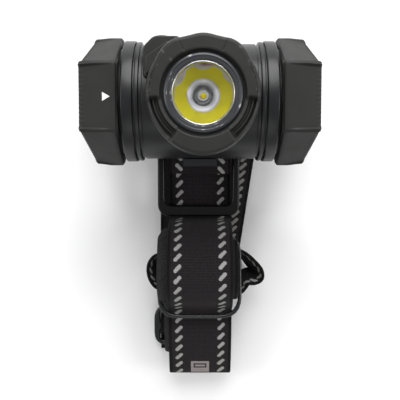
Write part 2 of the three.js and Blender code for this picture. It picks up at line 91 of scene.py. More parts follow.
def softened(corners, steps=4):
    """A profile whose corners are rounded: each corner is (radius, height, rounding)."""
    outline = []
    count = len(corners)
    for i, (x, y, rounding) in enumerate(corners):
        corner = Vector((x, y))
        before = Vector(corners[i - 1][:2]) - corner
        after = Vector(corners[(i + 1) % count][:2]) - corner
        reach = min(rounding, before.length * 0.48, after.length * 0.48)
        if reach < 0.01:
            outline.append((x, y))
            continue
        start = corner + before.normalized() * reach
        end = corner + after.normalized() * reach
        for k in range(steps + 1):
            t = k / steps
            point = start * (1 - t) ** 2 + corner * 2 * t * (1 - t) + end * t**2
            outline.append((point.x, point.y))
    return outline


def loft(rows, closed_across=True, closed_along=False):
    """Points and faces of a skin through rows of equally many points."""
    points = [point for row in rows for point in row]
    width = len(rows[0])
    faces = []
    for i in range(len(rows) if closed_along else len(rows) - 1):
        following = (i + 1) % len(rows)
        for j in range(width if closed_across else width - 1):
            beside = (j + 1) % width
            faces.append((i * width + j, i * width + beside, following * width + beside,
                          following * width + j))
    return points, faces


def spun(profile, sides=96, along_x=False):
    """Turns a closed profile of (radius, height) round Z, or round X."""
    rows = []
    for radius, height in profile:
        row = []
        for j in range(sides):
            angle = 2 * math.pi * j / sides
            a = radius * math.cos(angle)
            b = radius * math.sin(angle)
            row.append((height, a, b) if along_x else (a, b, height))
        rows.append(row)
    return loft(rows, closed_along=True)


def smooth_route(points, spacing):
    """A centripetal Catmull-Rom curve through the points, as evenly spaced points."""
    knots = np.array(points, float)
    ends = [2 * knots[0] - knots[1]], [2 * knots[-1] - knots[-2]]
    knots = np.concatenate([ends[0], knots, ends[1]])
    fine = []
    for i in range(1, len(knots) - 2):
        p0, p1, p2, p3 = knots[i - 1 : i + 3]
        t1 = np.linalg.norm(p1 - p0) ** 0.5
        t2 = t1 + np.linalg.norm(p2 - p1) ** 0.5
        t3 = t2 + np.linalg.norm(p3 - p2) ** 0.5
        for t in np.linspace(t1, t2, 24, endpoint=False):
            a1 = (p0 * (t1 - t) + p1 * t) / t1
            a2 = (p1 * (t2 - t) + p2 * (t - t1)) / (t2 - t1)
            a3 = (p2 * (t3 - t) + p3 * (t - t2)) / (t3 - t2)
            b1 = (a1 * (t2 - t) + a2 * t) / t2
            b2 = (a2 * (t3 - t) + a3 * (t - t1)) / (t3 - t1)
            fine.append((b1 * (t2 - t) + b2 * (t - t1)) / (t2 - t1))
    fine.append(knots[-2])
    return evenly_spaced(np.array(fine), spacing)


def evenly_spaced(line, spacing):
    travelled = np.concatenate([[0], np.cumsum(np.linalg.norm(np.diff(line, axis=0), axis=1))])
    stops = np.linspace(0, travelled[-1], max(2, round(travelled[-1] / spacing)) + 1)
    return np.stack([np.interp(stops, travelled, line[:, k]) for k in range(line.shape[1])], axis=1)


def offset_route(route, distance):
    """The route moved sideways, to its left."""
    run = np.gradient(route, axis=0)
    run /= np.linalg.norm(run, axis=1)[:, None]
    return route + np.stack([-run[:, 1], run[:, 0]], axis=1) * distance


def make_piece(name, skin, finish, body, stands_for=(), lift=0.0, aside=0.0, sharp=38, weld=True):
    """A mesh piece from points in millimetres, on its body, in place of its CAD nodes."""
    points, faces = skin
    mesh = bpy.data.meshes.new(name)
    mesh.from_pydata([((x + aside) * MM, y * MM, (z + lift) * MM) for x, y, z in points], [], faces)
    if weld:
        tidy = bmesh.new()
        tidy.from_mesh(mesh)
        bmesh.ops.remove_doubles(tidy, verts=tidy.verts, dist=1e-7)
        bmesh.ops.dissolve_degenerate(tidy, edges=tidy.edges, dist=1e-7)
        bmesh.ops.recalc_face_normals(tidy, faces=tidy.faces)
        tidy.to_mesh(mesh)
        tidy.free()
    mesh.polygons.foreach_set("use_smooth", [True] * len(mesh.polygons))
    mesh.set_sharp_from_angle(angle=math.radians(sharp))
    mesh.materials.append(finish)
    piece = bpy.data.objects.new(name, mesh)
    bpy.context.scene.collection.objects.link(piece)
    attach(piece, body)
    if stands_for:
        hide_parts(*stands_for)
    return piece


def cut_plate(name, outlines, base, thickness, edge, transform=Matrix.Identity(4)):
    """A flat plate with rounded edges: the first outline is its rim and the others are windows."""
    curve = bpy.data.curves.new(name, "CURVE")
    curve.dimensions = "2D"
    curve.fill_mode = "BOTH"
    curve.extrude = (thickness / 2 - edge) * MM
    curve.bevel_depth = edge * MM
    curve.bevel_resolution = 3
    curve.offset = -edge * MM
    for outline in outlines:
        spline = curve.splines.new("POLY")
        spline.points.add(len(outline) - 1)
        for point, (x, y) in zip(spline.points, outline):
            point.co = (x * MM, y * MM, 0, 1)
        spline.use_cyclic_u = True
    holder = bpy.data.objects.new(name, curve)
    bpy.context.scene.collection.objects.link(holder)
    depsgraph = bpy.context.evaluated_depsgraph_get()
    mesh = bpy.data.meshes.new_from_object(holder.evaluated_get(depsgraph))
    bpy.data.objects.remove(holder)
    mesh.transform(transform @ Matrix.Translation((0, 0, (base + thickness / 2) * MM)))
    mesh.name = name
    return mesh


def finish_plate(mesh, finish, body, stands_for):
    tidy = bmesh.new()
    tidy.from_mesh(mesh)
    bmesh.ops.remove_doubles(tidy, verts=tidy.verts, dist=2e-6)
    bmesh.ops.recalc_face_normals(tidy, faces=tidy.faces)
    tidy.to_mesh(mesh)
    tidy.free()
    mesh.polygons.foreach_set("use_smooth", [True] * len(mesh.polygons))
    mesh.set_sharp_from_angle(angle=math.radians(40))
    mesh.materials.clear()
    mesh.materials.append(finish)
    piece = bpy.data.objects.new(mesh.name, mesh)
    bpy.context.scene.collection.objects.link(piece)
    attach(piece, body)
    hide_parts(*stands_for)
    return piece


# ---- Shared surface effects ------------------------------------------------------------------


def new_group(name, inputs, outputs):
    """An empty node group; inputs and outputs are (name, kind) or (name, kind, value)."""
    group = bpy.data.node_groups.new(name, "ShaderNodeTree")
    for label, kind, *value in inputs:
        socket = group.interface.new_socket(label, in_out="INPUT", socket_type="NodeSocket" + kind)
        if value:
            socket.default_value = value[0]
    for label, kind in outputs:
        group.interface.new_socket(label, in_out="OUTPUT", socket_type="NodeSocket" + kind)
    entry = group.nodes.new("NodeGroupInput").outputs
    leaving = group.nodes.new("NodeGroupOutput").inputs
    return group, entry, leaving


def feed(tree, socket, value):
    if isinstance(value, bpy.types.NodeSocket):
        tree.links.new(value, socket)
    elif value is not None:
        socket.default_value = value


def sum_node(tree, operation, *values, clamp=False):
    node = tree.nodes.new("ShaderNodeMath")
    node.operation = operation
    node.use_clamp = clamp
    for socket, value in zip(node.inputs, values):
        feed(tree, socket, value)
    return node.outputs[0]


def noise_node(tree, place, scale, detail=3.0, roughness=0.55):
    node = tree.nodes.new("ShaderNodeTexNoise")
    feed(tree, node.inputs["Vector"], place)
    feed(tree, node.inputs["Scale"], scale)
    node.inputs["Detail"].default_value = detail
    node.inputs["Roughness"].default_value = roughness
    return node.outputs["Fac"]


def remap(tree, value, from_low, from_high, to_low=0.0, to_high=1.0):
    node = tree.nodes.new("ShaderNodeMapRange")
    for socket, number in zip(node.inputs, (value, from_low, from_high, to_low, to_high)):
        feed(tree, socket, number)
    return node.outputs[0]


def mixed(tree, factor, first, second):
    node = tree.nodes.new("ShaderNodeMix")
    node.data_type = "RGBA"
    feed(tree, node.inputs["Factor"], factor)
    feed(tree, node.inputs["A"], first)
    feed(tree, node.inputs["B"], second)
    return node.outputs["Result"]


def split(tree, vector):
    node = tree.nodes.new("ShaderNodeSeparateXYZ")
    feed(tree, node.inputs[0], vector)
    return node.outputs


def grain_group():
    """Fine moulded grain with slow patches: a height, and a tone round one half."""
    group, entry, leaving = new_group(
        "moulded grain", [("Place", "Vector"), ("Scale", "Float", 2500.0)],
        [("Height", "Float"), ("Tone", "Float")]
    )
    fine = noise_node(group, entry["Place"], entry["Scale"], 4.0, 0.65)
    broad = noise_node(group, entry["Place"], sum_node(group, "MULTIPLY", entry["Scale"], 0.05), 4.0, 0.6)
    feed(group, leaving["Height"], fine)
    feed(group, leaving["Tone"], sum_node(group, "ADD", sum_node(group, "MULTIPLY", fine, 0.3),
                                          sum_node(group, "MULTIPLY", broad, 0.7)))
    return group


def wear_group():
    """Worn edges and scattered dust specks, each as a mask."""
    group, entry, leaving = new_group(
        "wear and dust",
        [("Place", "Vector"), ("Edge", "Float", 0.53), ("Specks", "Float", 0.74)],
        [("Wear", "Float"), ("Dust", "Float")],
    )
    bend = group.nodes.new("ShaderNodeNewGeometry").outputs["Pointiness"]
    patchy = noise_node(group, entry["Place"], 700.0, 3.0, 0.6)
    lift = sum_node(group, "MULTIPLY_ADD", patchy, 0.05, -0.025)
    ridge = sum_node(group, "SUBTRACT", sum_node(group, "ADD", bend, lift), entry["Edge"])
    feed(group, leaving["Wear"], sum_node(group, "MULTIPLY", ridge, 14.0, clamp=True))
    specks = noise_node(group, entry["Place"], 1900.0, 2.0, 0.5)
    feed(group, leaving["Dust"], remap(group, specks, entry["Specks"], 0.86))
    return group


def webbing_group():
    """Woven webbing from its own measure: across in x and along in y, both in millimetres.

    Crosswise ribs, lengthwise cords at the edges, and two columns of slanted light stitches.
    """
    group, entry, leaving = new_group(
        "webbing weave",
        [("Measure", "Vector"), ("Pitch", "Float", 4.1), ("Column", "Float", DASH_COLUMN)],
        [("Stitch", "Float"), ("Height", "Float"), ("Tone", "Float"), ("Selvedge", "Float")],
    )
    across, along, _ = split(group, entry["Measure"])
    wobble = noise_node(group, entry["Measure"], 0.55, 2.0, 0.5)
    side = sum_node(group, "SIGN", across)
    x = sum_node(group, "SUBTRACT", across, sum_node(group, "MULTIPLY", side, entry["Column"]))
    x = sum_node(group, "ADD", x, sum_node(group, "MULTIPLY_ADD", wobble, 0.5, -0.25))
    shifted_along = sum_node(group, "ADD", along, sum_node(group, "MULTIPLY", side, 0.6))
    cell = sum_node(group, "FLOORED_MODULO", shifted_along, entry["Pitch"])
    y = sum_node(group, "SUBTRACT", cell, sum_node(group, "MULTIPLY", entry["Pitch"], 0.5))
    run_x, run_y, half = -0.68, 0.73, 1.15
    reach = sum_node(group, "ADD", sum_node(group, "MULTIPLY", x, run_x),
                     sum_node(group, "MULTIPLY", y, run_y))
    reach = sum_node(group, "MINIMUM", sum_node(group, "MAXIMUM", reach, -half), half)
    off_x = sum_node(group, "SUBTRACT", x, sum_node(group, "MULTIPLY", reach, run_x))
    off_y = sum_node(group, "SUBTRACT", y, sum_node(group, "MULTIPLY", reach, run_y))
    squares = sum_node(group, "ADD", sum_node(group, "MULTIPLY", off_x, off_x),
                       sum_node(group, "MULTIPLY", off_y, off_y))
    distance = sum_node(group, "SQRT", squares)
    ragged = noise_node(group, entry["Measure"], 2.6, 2.0, 0.6)
    distance = sum_node(group, "ADD", distance, sum_node(group, "MULTIPLY_ADD", ragged, 0.7, -0.35))
    stitch = remap(group, distance, 0.82, 0.60)
    ribs = sum_node(group, "SINE", sum_node(group, "MULTIPLY", along, 2 * math.pi / 0.56))
    cords = sum_node(group, "SINE", sum_node(group, "MULTIPLY", across, 2 * math.pi / 0.72))
    from_middle = sum_node(group, "ABSOLUTE", across)
    selvedge = remap(group, from_middle, HALF_STRAP - 1.5, HALF_STRAP - 1.0)
    stretched = group.nodes.new("ShaderNodeMapping")
    feed(group, stretched.inputs["Vector"], entry["Measure"])
    stretched.inputs["Scale"].default_value = (1.0, 2.2, 1.0)
    fuzz = noise_node(group, stretched.outputs["Vector"], 1.5, 4.0, 0.7)
    body = sum_node(group, "ADD", sum_node(group, "MULTIPLY", ribs, 0.5),
                    sum_node(group, "MULTIPLY", cords, 0.18))
    height = sum_node(group, "ADD", body, sum_node(group, "MULTIPLY", fuzz, 1.1))
    height = sum_node(group, "ADD", height, sum_node(group, "MULTIPLY", stitch, 1.6))
    feed(group, leaving["Stitch"], stitch)
    feed(group, leaving["Height"], height)
    feed(group, leaving["Tone"], sum_node(group, "MULTIPLY_ADD", body, 0.25, fuzz))
    feed(group, leaving["Selvedge"], selvedge)
    return group


GRAIN = grain_group()
WEAR = wear_group()
WEBBING = webbing_group()


# ---- Finishes --------------------------------------------------------------------------------


def new_finish(name):
    material = bpy.data.materials.new(name)
    material.use_nodes = True
    tree = material.node_tree
    shader = tree.nodes["Principled BSDF"]
    place = tree.nodes.new("ShaderNodeTexCoord").outputs["Object"]
    return material, tree, shader, place


def use_group(tree, group, **values):
    node = tree.nodes.new("ShaderNodeGroup")
    node.node_tree = group
    for label, value in values.items():
        feed(tree, node.inputs[label], value)
    return node.outputs


def bumped(tree, shader, height, strength, distance):
    bump = tree.nodes.new("ShaderNodeBump")
    bump.inputs["Strength"].default_value = strength
    bump.inputs["Distance"].default_value = distance
    tree.links.new(height, bump.inputs["Height"])
    tree.links.new(bump.outputs["Normal"], shader.inputs["Normal"])


def solid_finish(name, colour, roughness, metallic=0.0, grain=2500.0, bump=0.2, spread=0.3, worn=None,
                 dusty=0.0, edge=0.53, shine=0.5):
    """A hard finish with grain in its colour, gloss and surface, and worn, dusty edges."""
    material, tree, shader, place = new_finish(name)
    grained = use_group(tree, GRAIN, Place=place, Scale=grain)
    worn = worn or tuple(min(1.0, c * 1.8 + 0.02) for c in colour)
    dark = (*[c * (1 - spread) for c in colour], 1)
    light = (*[min(1.0, c * (1 + spread)) for c in colour], 1)
    base = mixed(tree, grained["Tone"], dark, light)
    masks = use_group(tree, WEAR, Place=place, Edge=edge)
    base = mixed(tree, masks["Wear"], base, (*worn, 1))
    if dusty:
        base = mixed(tree, sum_node(tree, "MULTIPLY", masks["Dust"], dusty), base, (0.32, 0.3, 0.28, 1))
    tree.links.new(base, shader.inputs["Base Color"])
    rough = remap(tree, grained["Tone"], 0.3, 0.7, max(0.03, roughness - 0.07), min(1.0, roughness + 0.07))
    tree.links.new(rough, shader.inputs["Roughness"])
    shader.inputs["Metallic"].default_value = metallic
    shader.inputs["Specular IOR Level"].default_value = shine
    bumped(tree, shader, grained["Height"], bump, 0.00005)
    return material


def webbing_finish(name, ground, thread, pitch=4.1, stitched=1.0, column=DASH_COLUMN):
    """Elastic webbing: ribbed black ground, with light slanted stitches down both sides if stitched."""
    material, tree, shader, _ = new_finish(name)
    measure = tree.nodes.new("ShaderNodeUVMap")
    measure.uv_map = "Measure"
    weave = use_group(tree, WEBBING, Measure=measure.outputs["UV"], Pitch=pitch, Column=column)
    tone = remap(tree, weave["Tone"], 0.3, 0.75)
    cloth = mixed(tree, tone, (*[c * 0.25 for c in ground], 1), (*[c * 5.0 for c in ground], 1))
    cloth = mixed(tree, weave["Selvedge"], cloth, (*[c * 0.7 for c in ground], 1))
    light = mixed(tree, tone, (*[c * 0.72 for c in thread], 1), (*thread, 1))
    stitch = sum_node(tree, "MULTIPLY", weave["Stitch"], stitched)
    tree.links.new(mixed(tree, stitch, cloth, light), shader.inputs["Base Color"])
    tree.links.new(remap(tree, stitch, 0, 1, 0.9, 0.6), shader.inputs["Roughness"])
    shader.inputs["Specular IOR Level"].default_value = 0.15
    shader.inputs["Sheen Weight"].default_value = 0.04
    shader.inputs["Sheen Roughness"].default_value = 0.5
    bumped(tree, shader, weave["Height"], 0.7, 0.00014)
    return material


def foam_finish():
    material, tree, shader, place = new_finish("closed-cell foam")
    cells = tree.nodes.new("ShaderNodeTexVoronoi")
    tree.links.new(place, cells.inputs["Vector"])
    cells.inputs["Scale"].default_value = 1500.0
    patches = noise_node(tree, place, 180.0)
    base = mixed(tree, patches, (0.010, 0.010, 0.011, 1), (0.026, 0.026, 0.028, 1))
    tree.links.new(base, shader.inputs["Base Color"])
    tree.links.new(remap(tree, patches, 0.3, 0.7, 0.82, 0.96), shader.inputs["Roughness"])
    shader.inputs["Sheen Weight"].default_value = 0.1
    bumped(tree, shader, cells.outputs["Distance"], 0.6, 0.0002)
    return material


def patch_finish():
    """A small woven patch of light threads with a plain dark frame, and nothing written on it."""
    material, tree, shader, place = new_finish("woven patch")
    x, y, _ = split(tree, place)
    threads = sum_node(tree, "MULTIPLY", sum_node(tree, "SINE", sum_node(tree, "MULTIPLY", x, 9500.0)),
                       sum_node(tree, "SINE", sum_node(tree, "MULTIPLY", y, 9500.0)))
    fuzz = noise_node(tree, place, 2600.0, 3.0, 0.7)
    woven = sum_node(tree, "MULTIPLY_ADD", threads, 0.25, fuzz)
    base = mixed(tree, remap(tree, woven, 0.2, 0.75), (0.12, 0.12, 0.12, 1), (0.42, 0.36, 0.35, 1))
    low, high = node_box("label_patch")
    off_x = sum_node(tree, "ABSOLUTE", sum_node(tree, "SUBTRACT", x, (low.x + high.x) / 2 * MM))
    off_y = sum_node(tree, "ABSOLUTE", sum_node(tree, "SUBTRACT", y, (low.y + high.y) / 2 * MM))
    inside = sum_node(tree, "MAXIMUM", sum_node(tree, "SUBTRACT", off_x, 2.3 * MM),
                      sum_node(tree, "SUBTRACT", off_y, 0.75 * MM))
    line = remap(tree, sum_node(tree, "ABSOLUTE", inside), 0.42 * MM, 0.25 * MM)
    base = mixed(tree, line, base, (0.03, 0.03, 0.03, 1))
    tree.links.new(base, shader.inputs["Base Color"])
    tree.links.new(remap(tree, woven, 0.2, 0.8, 0.95, 0.75), shader.inputs["Roughness"])
    bumped(tree, shader, woven, 0.6, 0.0002)
    return material


def painted_reflection_finish(reflected_band_radius=5.35, mouth_radius=9.3):
    """Silvered cup with painted reflections: the warm yellow of the light source as a painted reflection in
    a band round a pale middle, which is the painted reflection of the emitter's white base.
    """
    material, tree, shader, place = new_finish("reflector with painted reflections")
    x, y, _ = split(tree, place)
    x = sum_node(tree, "SUBTRACT", x, HEAD_X * MM)
    radius = sum_node(tree, "SQRT", sum_node(tree, "ADD", sum_node(tree, "MULTIPLY", x, x),
                                             sum_node(tree, "MULTIPLY", y, y)))
    radius = sum_node(tree, "MULTIPLY", radius, 1 / MM)
    # silver is the cup's own colour; pale and yellow are painted reflections of the white parts round the
    # emitter and of its yellow dome
    silver, pale, yellow = (0.40, 0.39, 0.42, 1), (0.66, 0.66, 0.70, 1), (0.52, 0.46, 0.009, 1)
    ripple = noise_node(tree, place, 260.0, 2.0, 0.5)
    soft_radius = sum_node(tree, "ADD", radius, sum_node(tree, "MULTIPLY_ADD", ripple, 0.5, -0.25))
    # Painted reflection: the middle turns pale between radii 3.6 and 5.2 mm
    base = mixed(tree, remap(tree, soft_radius, 3.6, 4.7), silver, pale)
    base = mixed(tree, remap(tree, soft_radius, 4.7, 5.2), base, silver)
    # Painted reflection: the yellow band between these radii, where the cup mirrors the yellow dome
    band = sum_node(tree, "MULTIPLY", remap(tree, soft_radius, reflected_band_radius - 0.1, reflected_band_radius + 0.15),
                    remap(tree, soft_radius, mouth_radius, mouth_radius - 0.25))
    # Three scallops cut the painted yellow reflection back from its outer edge
    for degrees, depth in ((90, 1.0), (36, 0.45), (146, 1.0)):
        centre_x = 13.6 * math.cos(math.radians(degrees)) * MM
        centre_y = 13.6 * math.sin(math.radians(degrees)) * MM
        dx = sum_node(tree, "SUBTRACT", x, centre_x)
        dy = sum_node(tree, "SUBTRACT", y, centre_y)
        away = sum_node(tree, "SQRT", sum_node(tree, "ADD", sum_node(tree, "MULTIPLY", dx, dx),
                                               sum_node(tree, "MULTIPLY", dy, dy)))
        edge = (4.6 + depth) * MM
        band = sum_node(tree, "MULTIPLY", band, remap(tree, away, edge, edge + 0.25 * MM))
    base = mixed(tree, band, base, yellow)
    # Painted reflection: a dark red arc at the mouth's +Y edge, on the +X side
    warm = sum_node(tree, "MULTIPLY", remap(tree, y, 8.6 * MM, 9.0 * MM), remap(tree, x, -1.5 * MM, 0.0))
    base = mixed(tree, sum_node(tree, "MULTIPLY", warm, 0.6), base, (0.16, 0.02, 0.02, 1))
    throat = remap(tree, radius, 3.35, 3.0)
    base = mixed(tree, throat, base, (0.05, 0.05, 0.05, 1))
    tree.links.new(base, shader.inputs["Base Color"])
    tree.links.new(remap(tree, band, 0, 1, 0.42, 0.45), shader.inputs["Roughness"])
    tree.links.new(remap(tree, band, 0, 1, 0.35, 0.0), shader.inputs["Metallic"])
    return material


def glass_finish():
    """Coated clear glass: faint smears in its gloss."""
    material, tree, shader, place = new_finish("lens glass")
    shader.inputs["Base Color"].default_value = (0.97, 0.98, 1.0, 1)
    shader.inputs["IOR"].default_value = 1.12
    shader.inputs["Transmission Weight"].default_value = 1.0
    smears = noise_node(tree, place, 160.0, 3.0, 0.6)
    tree.links.new(remap(tree, smears, 0.4, 0.8, 0.0, 0.02), shader.inputs["Roughness"])
    return material


ANODISED = solid_finish("black anodised", (0.006, 0.0065, 0.0075), 0.36, metallic=0.0, grain=3200.0,
                        bump=0.08, spread=0.25, worn=(0.03, 0.032, 0.036), edge=0.57, shine=0.42)
GUARD = solid_finish("matte moulded black", (0.0125, 0.0128, 0.0118), 0.55, grain=2300.0, bump=0.35,
                     spread=0.45, worn=(0.045, 0.046, 0.043), dusty=0.2, edge=0.545, shine=0.35)
# Black plastic whose colour is darkened further as painted shade for the plate and cradle under the lamp
SHADE_DARKENED_PLASTIC = solid_finish("satin black plastic, darkened for shade", (0.0022, 0.0022, 0.0026), 0.30, grain=2300.0, bump=0.15,
                       worn=(0.02, 0.021, 0.024), dusty=0.08, edge=0.56, shine=0.28)
BUCKLE = solid_finish("glossy buckle plastic", (0.008, 0.009, 0.010), 0.24, grain=1500.0, bump=0.12,
                      worn=(0.06, 0.066, 0.07), dusty=0.12, edge=0.55, shine=0.55)
RING_METAL = solid_finish("dark lens ring", (0.040, 0.042, 0.047), 0.38, metallic=0.45, grain=2600.0,
                          bump=0.06, spread=0.15, worn=(0.28, 0.28, 0.29), edge=0.55)
CHROME = solid_finish("bright rim", (0.80, 0.80, 0.82), 0.12, metallic=1.0, grain=900.0, bump=0.03,
                      spread=0.06)
RUBBER = solid_finish("black rubber", (0.018, 0.018, 0.019), 0.72, grain=1700.0, bump=0.3)
BOARD = solid_finish("circuit board", (0.010, 0.045, 0.022), 0.45, grain=900.0, bump=0.1)
ALUMINIUM = solid_finish("bare aluminium", (0.62, 0.63, 0.64), 0.35, metallic=1.0, grain=1500.0, bump=0.1,
                         spread=0.1)
CONTACT = solid_finish("plated contacts", (0.72, 0.62, 0.36), 0.28, metallic=1.0, grain=1500.0, bump=0.06,
                       spread=0.1)
PHOSPHOR = solid_finish("phosphor", (0.72, 0.60, 0.02), 0.5, grain=4000.0, bump=0.2, spread=0.12)
CERAMIC = solid_finish("white ceramic", (0.62, 0.62, 0.64), 0.5, grain=3000.0, bump=0.1, spread=0.06)
SLEEVE = solid_finish("cell sleeve", (0.05, 0.07, 0.10), 0.35, grain=900.0, bump=0.05, spread=0.1)
MARKING = solid_finish("white ink", (0.74, 0.75, 0.74), 0.6, grain=5200.0, bump=0.25, spread=0.18,
                       worn=(0.6, 0.6, 0.6))
INSULATOR = solid_finish("smoked insulator", (0.05, 0.05, 0.048), 0.4, grain=3000.0, bump=0.1)
EMITTER_BOARD = solid_finish("grey emitter board", (0.22, 0.22, 0.22), 0.45, grain=3000.0, bump=0.1)
STEEL = solid_finish("zinc-plated steel", (0.40, 0.40, 0.41), 0.32, metallic=1.0, grain=1900.0, bump=0.1,
                     spread=0.12)
FOAM = foam_finish()
PATCH = patch_finish()
STRAP_CLOTH = webbing_finish("elastic webbing", (0.0066, 0.0056, 0.0063), (0.40, 0.40, 0.39))
BAND_CLOTH = webbing_finish("headband webbing", (0.0080, 0.0075, 0.0080), (0.34, 0.33, 0.31), pitch=3.3)
# The folded headband's stitches are painted lighter than the headband's own: painted light that lifts them
# where the folds stand in shade
LIGHTENED_FOLD_CLOTH = webbing_finish("folded webbing, lightened stitches", (0.0070, 0.0066, 0.0070), (0.50, 0.50, 0.48), pitch=3.1,
                            column=10.2)
BACK_CLOTH = webbing_finish("webbing's plain back", (0.0070, 0.0066, 0.0070), (0.1, 0.1, 0.1), stitched=0.0)
PAINTED_REFLECTION_MIRROR = painted_reflection_finish()
GLASS = glass_finish()

SLOT_FINISHES = {
    "anodised": ANODISED, "guard": GUARD, "ring_metal": RING_METAL, "mirror": PAINTED_REFLECTION_MIRROR, "glass": GLASS,
    "rubber": RUBBER, "plastic": SHADE_DARKENED_PLASTIC, "board": BOARD, "aluminium": ALUMINIUM, "contact": CONTACT,
    "phosphor": PHOSPHOR, "ceramic": CERAMIC, "cell_sleeve": SLEEVE, "marking": MARKING, "steel": STEEL,
    "foam": FOAM, "webbing": STRAP_CLOTH, "buckle": BUCKLE, "patch": PATCH,
}


NODE_FINISHES = {"led_insulator": INSULATOR, "led_board": EMITTER_BOARD}


def finish_cad_nodes():
    """Every CAD node wears its own finish, or else the finish of its slot."""
    for subpart in frame["record"]["subparts"]:
        node = subpart["node"]
        mesh = frame["nodes"][node].data
        mesh.materials.clear()
        mesh.materials.append(NODE_FINISHES.get(node, SLOT_FINISHES[subpart["material_slot"]]))
        mesh.polygons.foreach_set("use_smooth", [True] * len(mesh.polygons))
        mesh.set_sharp_from_angle(angle=math.radians(32))


# ---- View and light --------------------------------------------------------------------------


def aim(holder, target):
    direction = Vector(target) - holder.location
    holder.rotation_euler = direction.to_track_quat("-Z", "Y").to_euler()


def set_camera():
    data = bpy.data.cameras.new("view")
    data.lens = 54
    data.sensor_width = 36
    data.clip_start = 0.01
    camera = bpy.data.objects.new("view", data)
    camera.location = (0, -0.0209, 0.252)
    target = Vector((0, -0.036, 0.022))
    lean = math.atan2(target.y - camera.location.y, camera.location.z - target.z)
    camera.rotation_euler = (lean, 0, 0)
    bpy.context.scene.collection.objects.link(camera)
    bpy.context.scene.camera = camera


def set_light():
    """A big soft light high behind the lamp's head, a weak one in front, and a pale room."""
    for name, place, size, power in (
        ("key light", (0.05, 0.50, 0.42), 0.60, 5.2),
        ("left light", (-0.55, 0.05, 0.40), 0.30, 1.2),
        ("right light", (0.55, -0.05, 0.40), 0.30, 1.2),
        ("front light", (0.0, -0.55, 0.45), 0.30, 0.35),
    ):
        data = bpy.data.lights.new(name, "AREA")
        data.shape = "DISK"
        data.size = size
        data.energy = power
        lamp = bpy.data.objects.new(name, data)
        lamp.location = place
        bpy.context.scene.collection.objects.link(lamp)
        aim(lamp, (0, -0.03, 0.02))
    world = bpy.data.worlds.new("room")
    world.use_nodes = True
    world.node_tree.nodes["Background"].inputs["Color"].default_value = (1, 1, 1, 1)
    world.node_tree.nodes["Background"].inputs["Strength"].default_value = 0.42
    bpy.context.scene.world = world
    bpy.context.scene.view_settings.view_transform = "Standard"


def make_floor():
    mesh = bpy.data.meshes.new("floor")
    half = 2.5
    mesh.from_pydata([(-half, -half, 0), (half, -half, 0), (half, half, 0), (-half, half, 0)], [],
                     [(0, 1, 2, 3)])
    material, tree, shader, place = new_finish("pale table")
    patches = noise_node(tree, place, 6.0)
    tree.links.new(mixed(tree, patches, (0.93, 0.93, 0.93, 1), (0.96, 0.96, 0.96, 1)),
                   shader.inputs["Base Color"])
    shader.inputs["Roughness"].default_value = 0.9
    shader.inputs["Specular IOR Level"].default_value = 0.1
    mesh.materials.append(material)
    floor = bpy.data.objects.new("floor", mesh)
    floor.location.z = cad_low.z - 0.0002
    bpy.context.scene.collection.objects.link(floor)


# ---- Lamp ------------------------------------------------------------------------------------


def turned_tube():
    """The tube body, with its grooves and collars turned in fine rings."""
    half = [
        (20.2, 0, 0), (20.2, 19.2, 0.3), (19.7, 19.2, 0.1), (19.7, 20.2, 0.1), (20.9, 20.2, 0.35),
        (20.9, 21.6, 0.35), (20.0, 21.6, 0.1), (20.0, 22.1, 0.1), (21.2, 22.1, 0.45), (21.2, 26, 0.5),
        (18.6, 26, 0.2),
    ]
    ridges = 5
    for i in range(ridges):
        start = 26.6 + i * 1.4
        half += [(18.2, start, 0.2), (18.6, start + 0.7, 0.2)]
    half += [(18.6, 34, 0.4)]
    outside = [(r, -x, s) for r, x, s in reversed(half)][:-1] + half[1:]
    profile = softened(outside + [(17.2, 34, 0.3), (17.2, -34, 0.3)])
    make_piece("turned_tube", spun(profile, 160, along_x=True), ANODISED, "lamp", ["body_tube"],
               lift=AXIS_Z, sharp=50)


GUARD_RECESSES = (90, 210, 330)


def angle_from(angle, centre):
    return abs((angle - centre + 180) % 360 - 180)


def eased(value, start, end):
    t = min(1.0, max(0.0, (value - start) / (end - start)))
    return t * t * (3 - 2 * t)


def guard_reach(angle):
    """The guard's outer radius: it swells over its lower lobe, its two upper lobes and its top."""
    reach = 18.1
    for centre, width, swell in ((270, 62, 1.25), (55, 26, 0.95), (125, 26, 0.95), (90, 22, 0.5)):
        away = min(1.0, angle_from(angle, centre) / width)
        reach += swell * math.cos(away * math.pi / 2) ** 2
    return reach


def guard_section(angle):
    """The guard's section at an angle: full height on the lobes, two grooves and a ridge between them."""
    raised = min(eased(angle_from(angle, centre), 21, 26.5) for centre in GUARD_RECESSES)
    hump = eased(angle_from(angle, 90), 34, 30)
    raised = max(raised, 0.72 * hump)
    outer = guard_reach(angle)
    top = 29.4 + 2.1 * raised
    ridge = 30.5 + raised

    def level(low, filled):
        return low + (top - low) * max(raised, filled)

    inner = 13.0 + 0.45 * raised
    return [
        (14.3, 21.0), (outer - 0.7, 21.0), (outer, 21.7), (outer, 27.4), (outer - 0.2, top - 1.2),
        (outer - 0.6, top - 0.35), (outer - 1.2, top), (outer - 1.5, level(28.8, hump)),
        (16.75, level(28.2, hump)),
        (16.35, level(28.3, hump)), (16.0, level(28.9, hump)), (15.5, level(29.05, hump)),
        (15.15, level(28.7, hump)), (14.7, level(28.7, hump)), (14.35, min(ridge, level(29.5, hump))),
        (14.1, ridge),
        (inner + 0.45, ridge), (inner + 0.12, ridge - 0.18), (inner, ridge - 0.55), (13.0, 29.75),
        (14.3, 29.7),
    ]


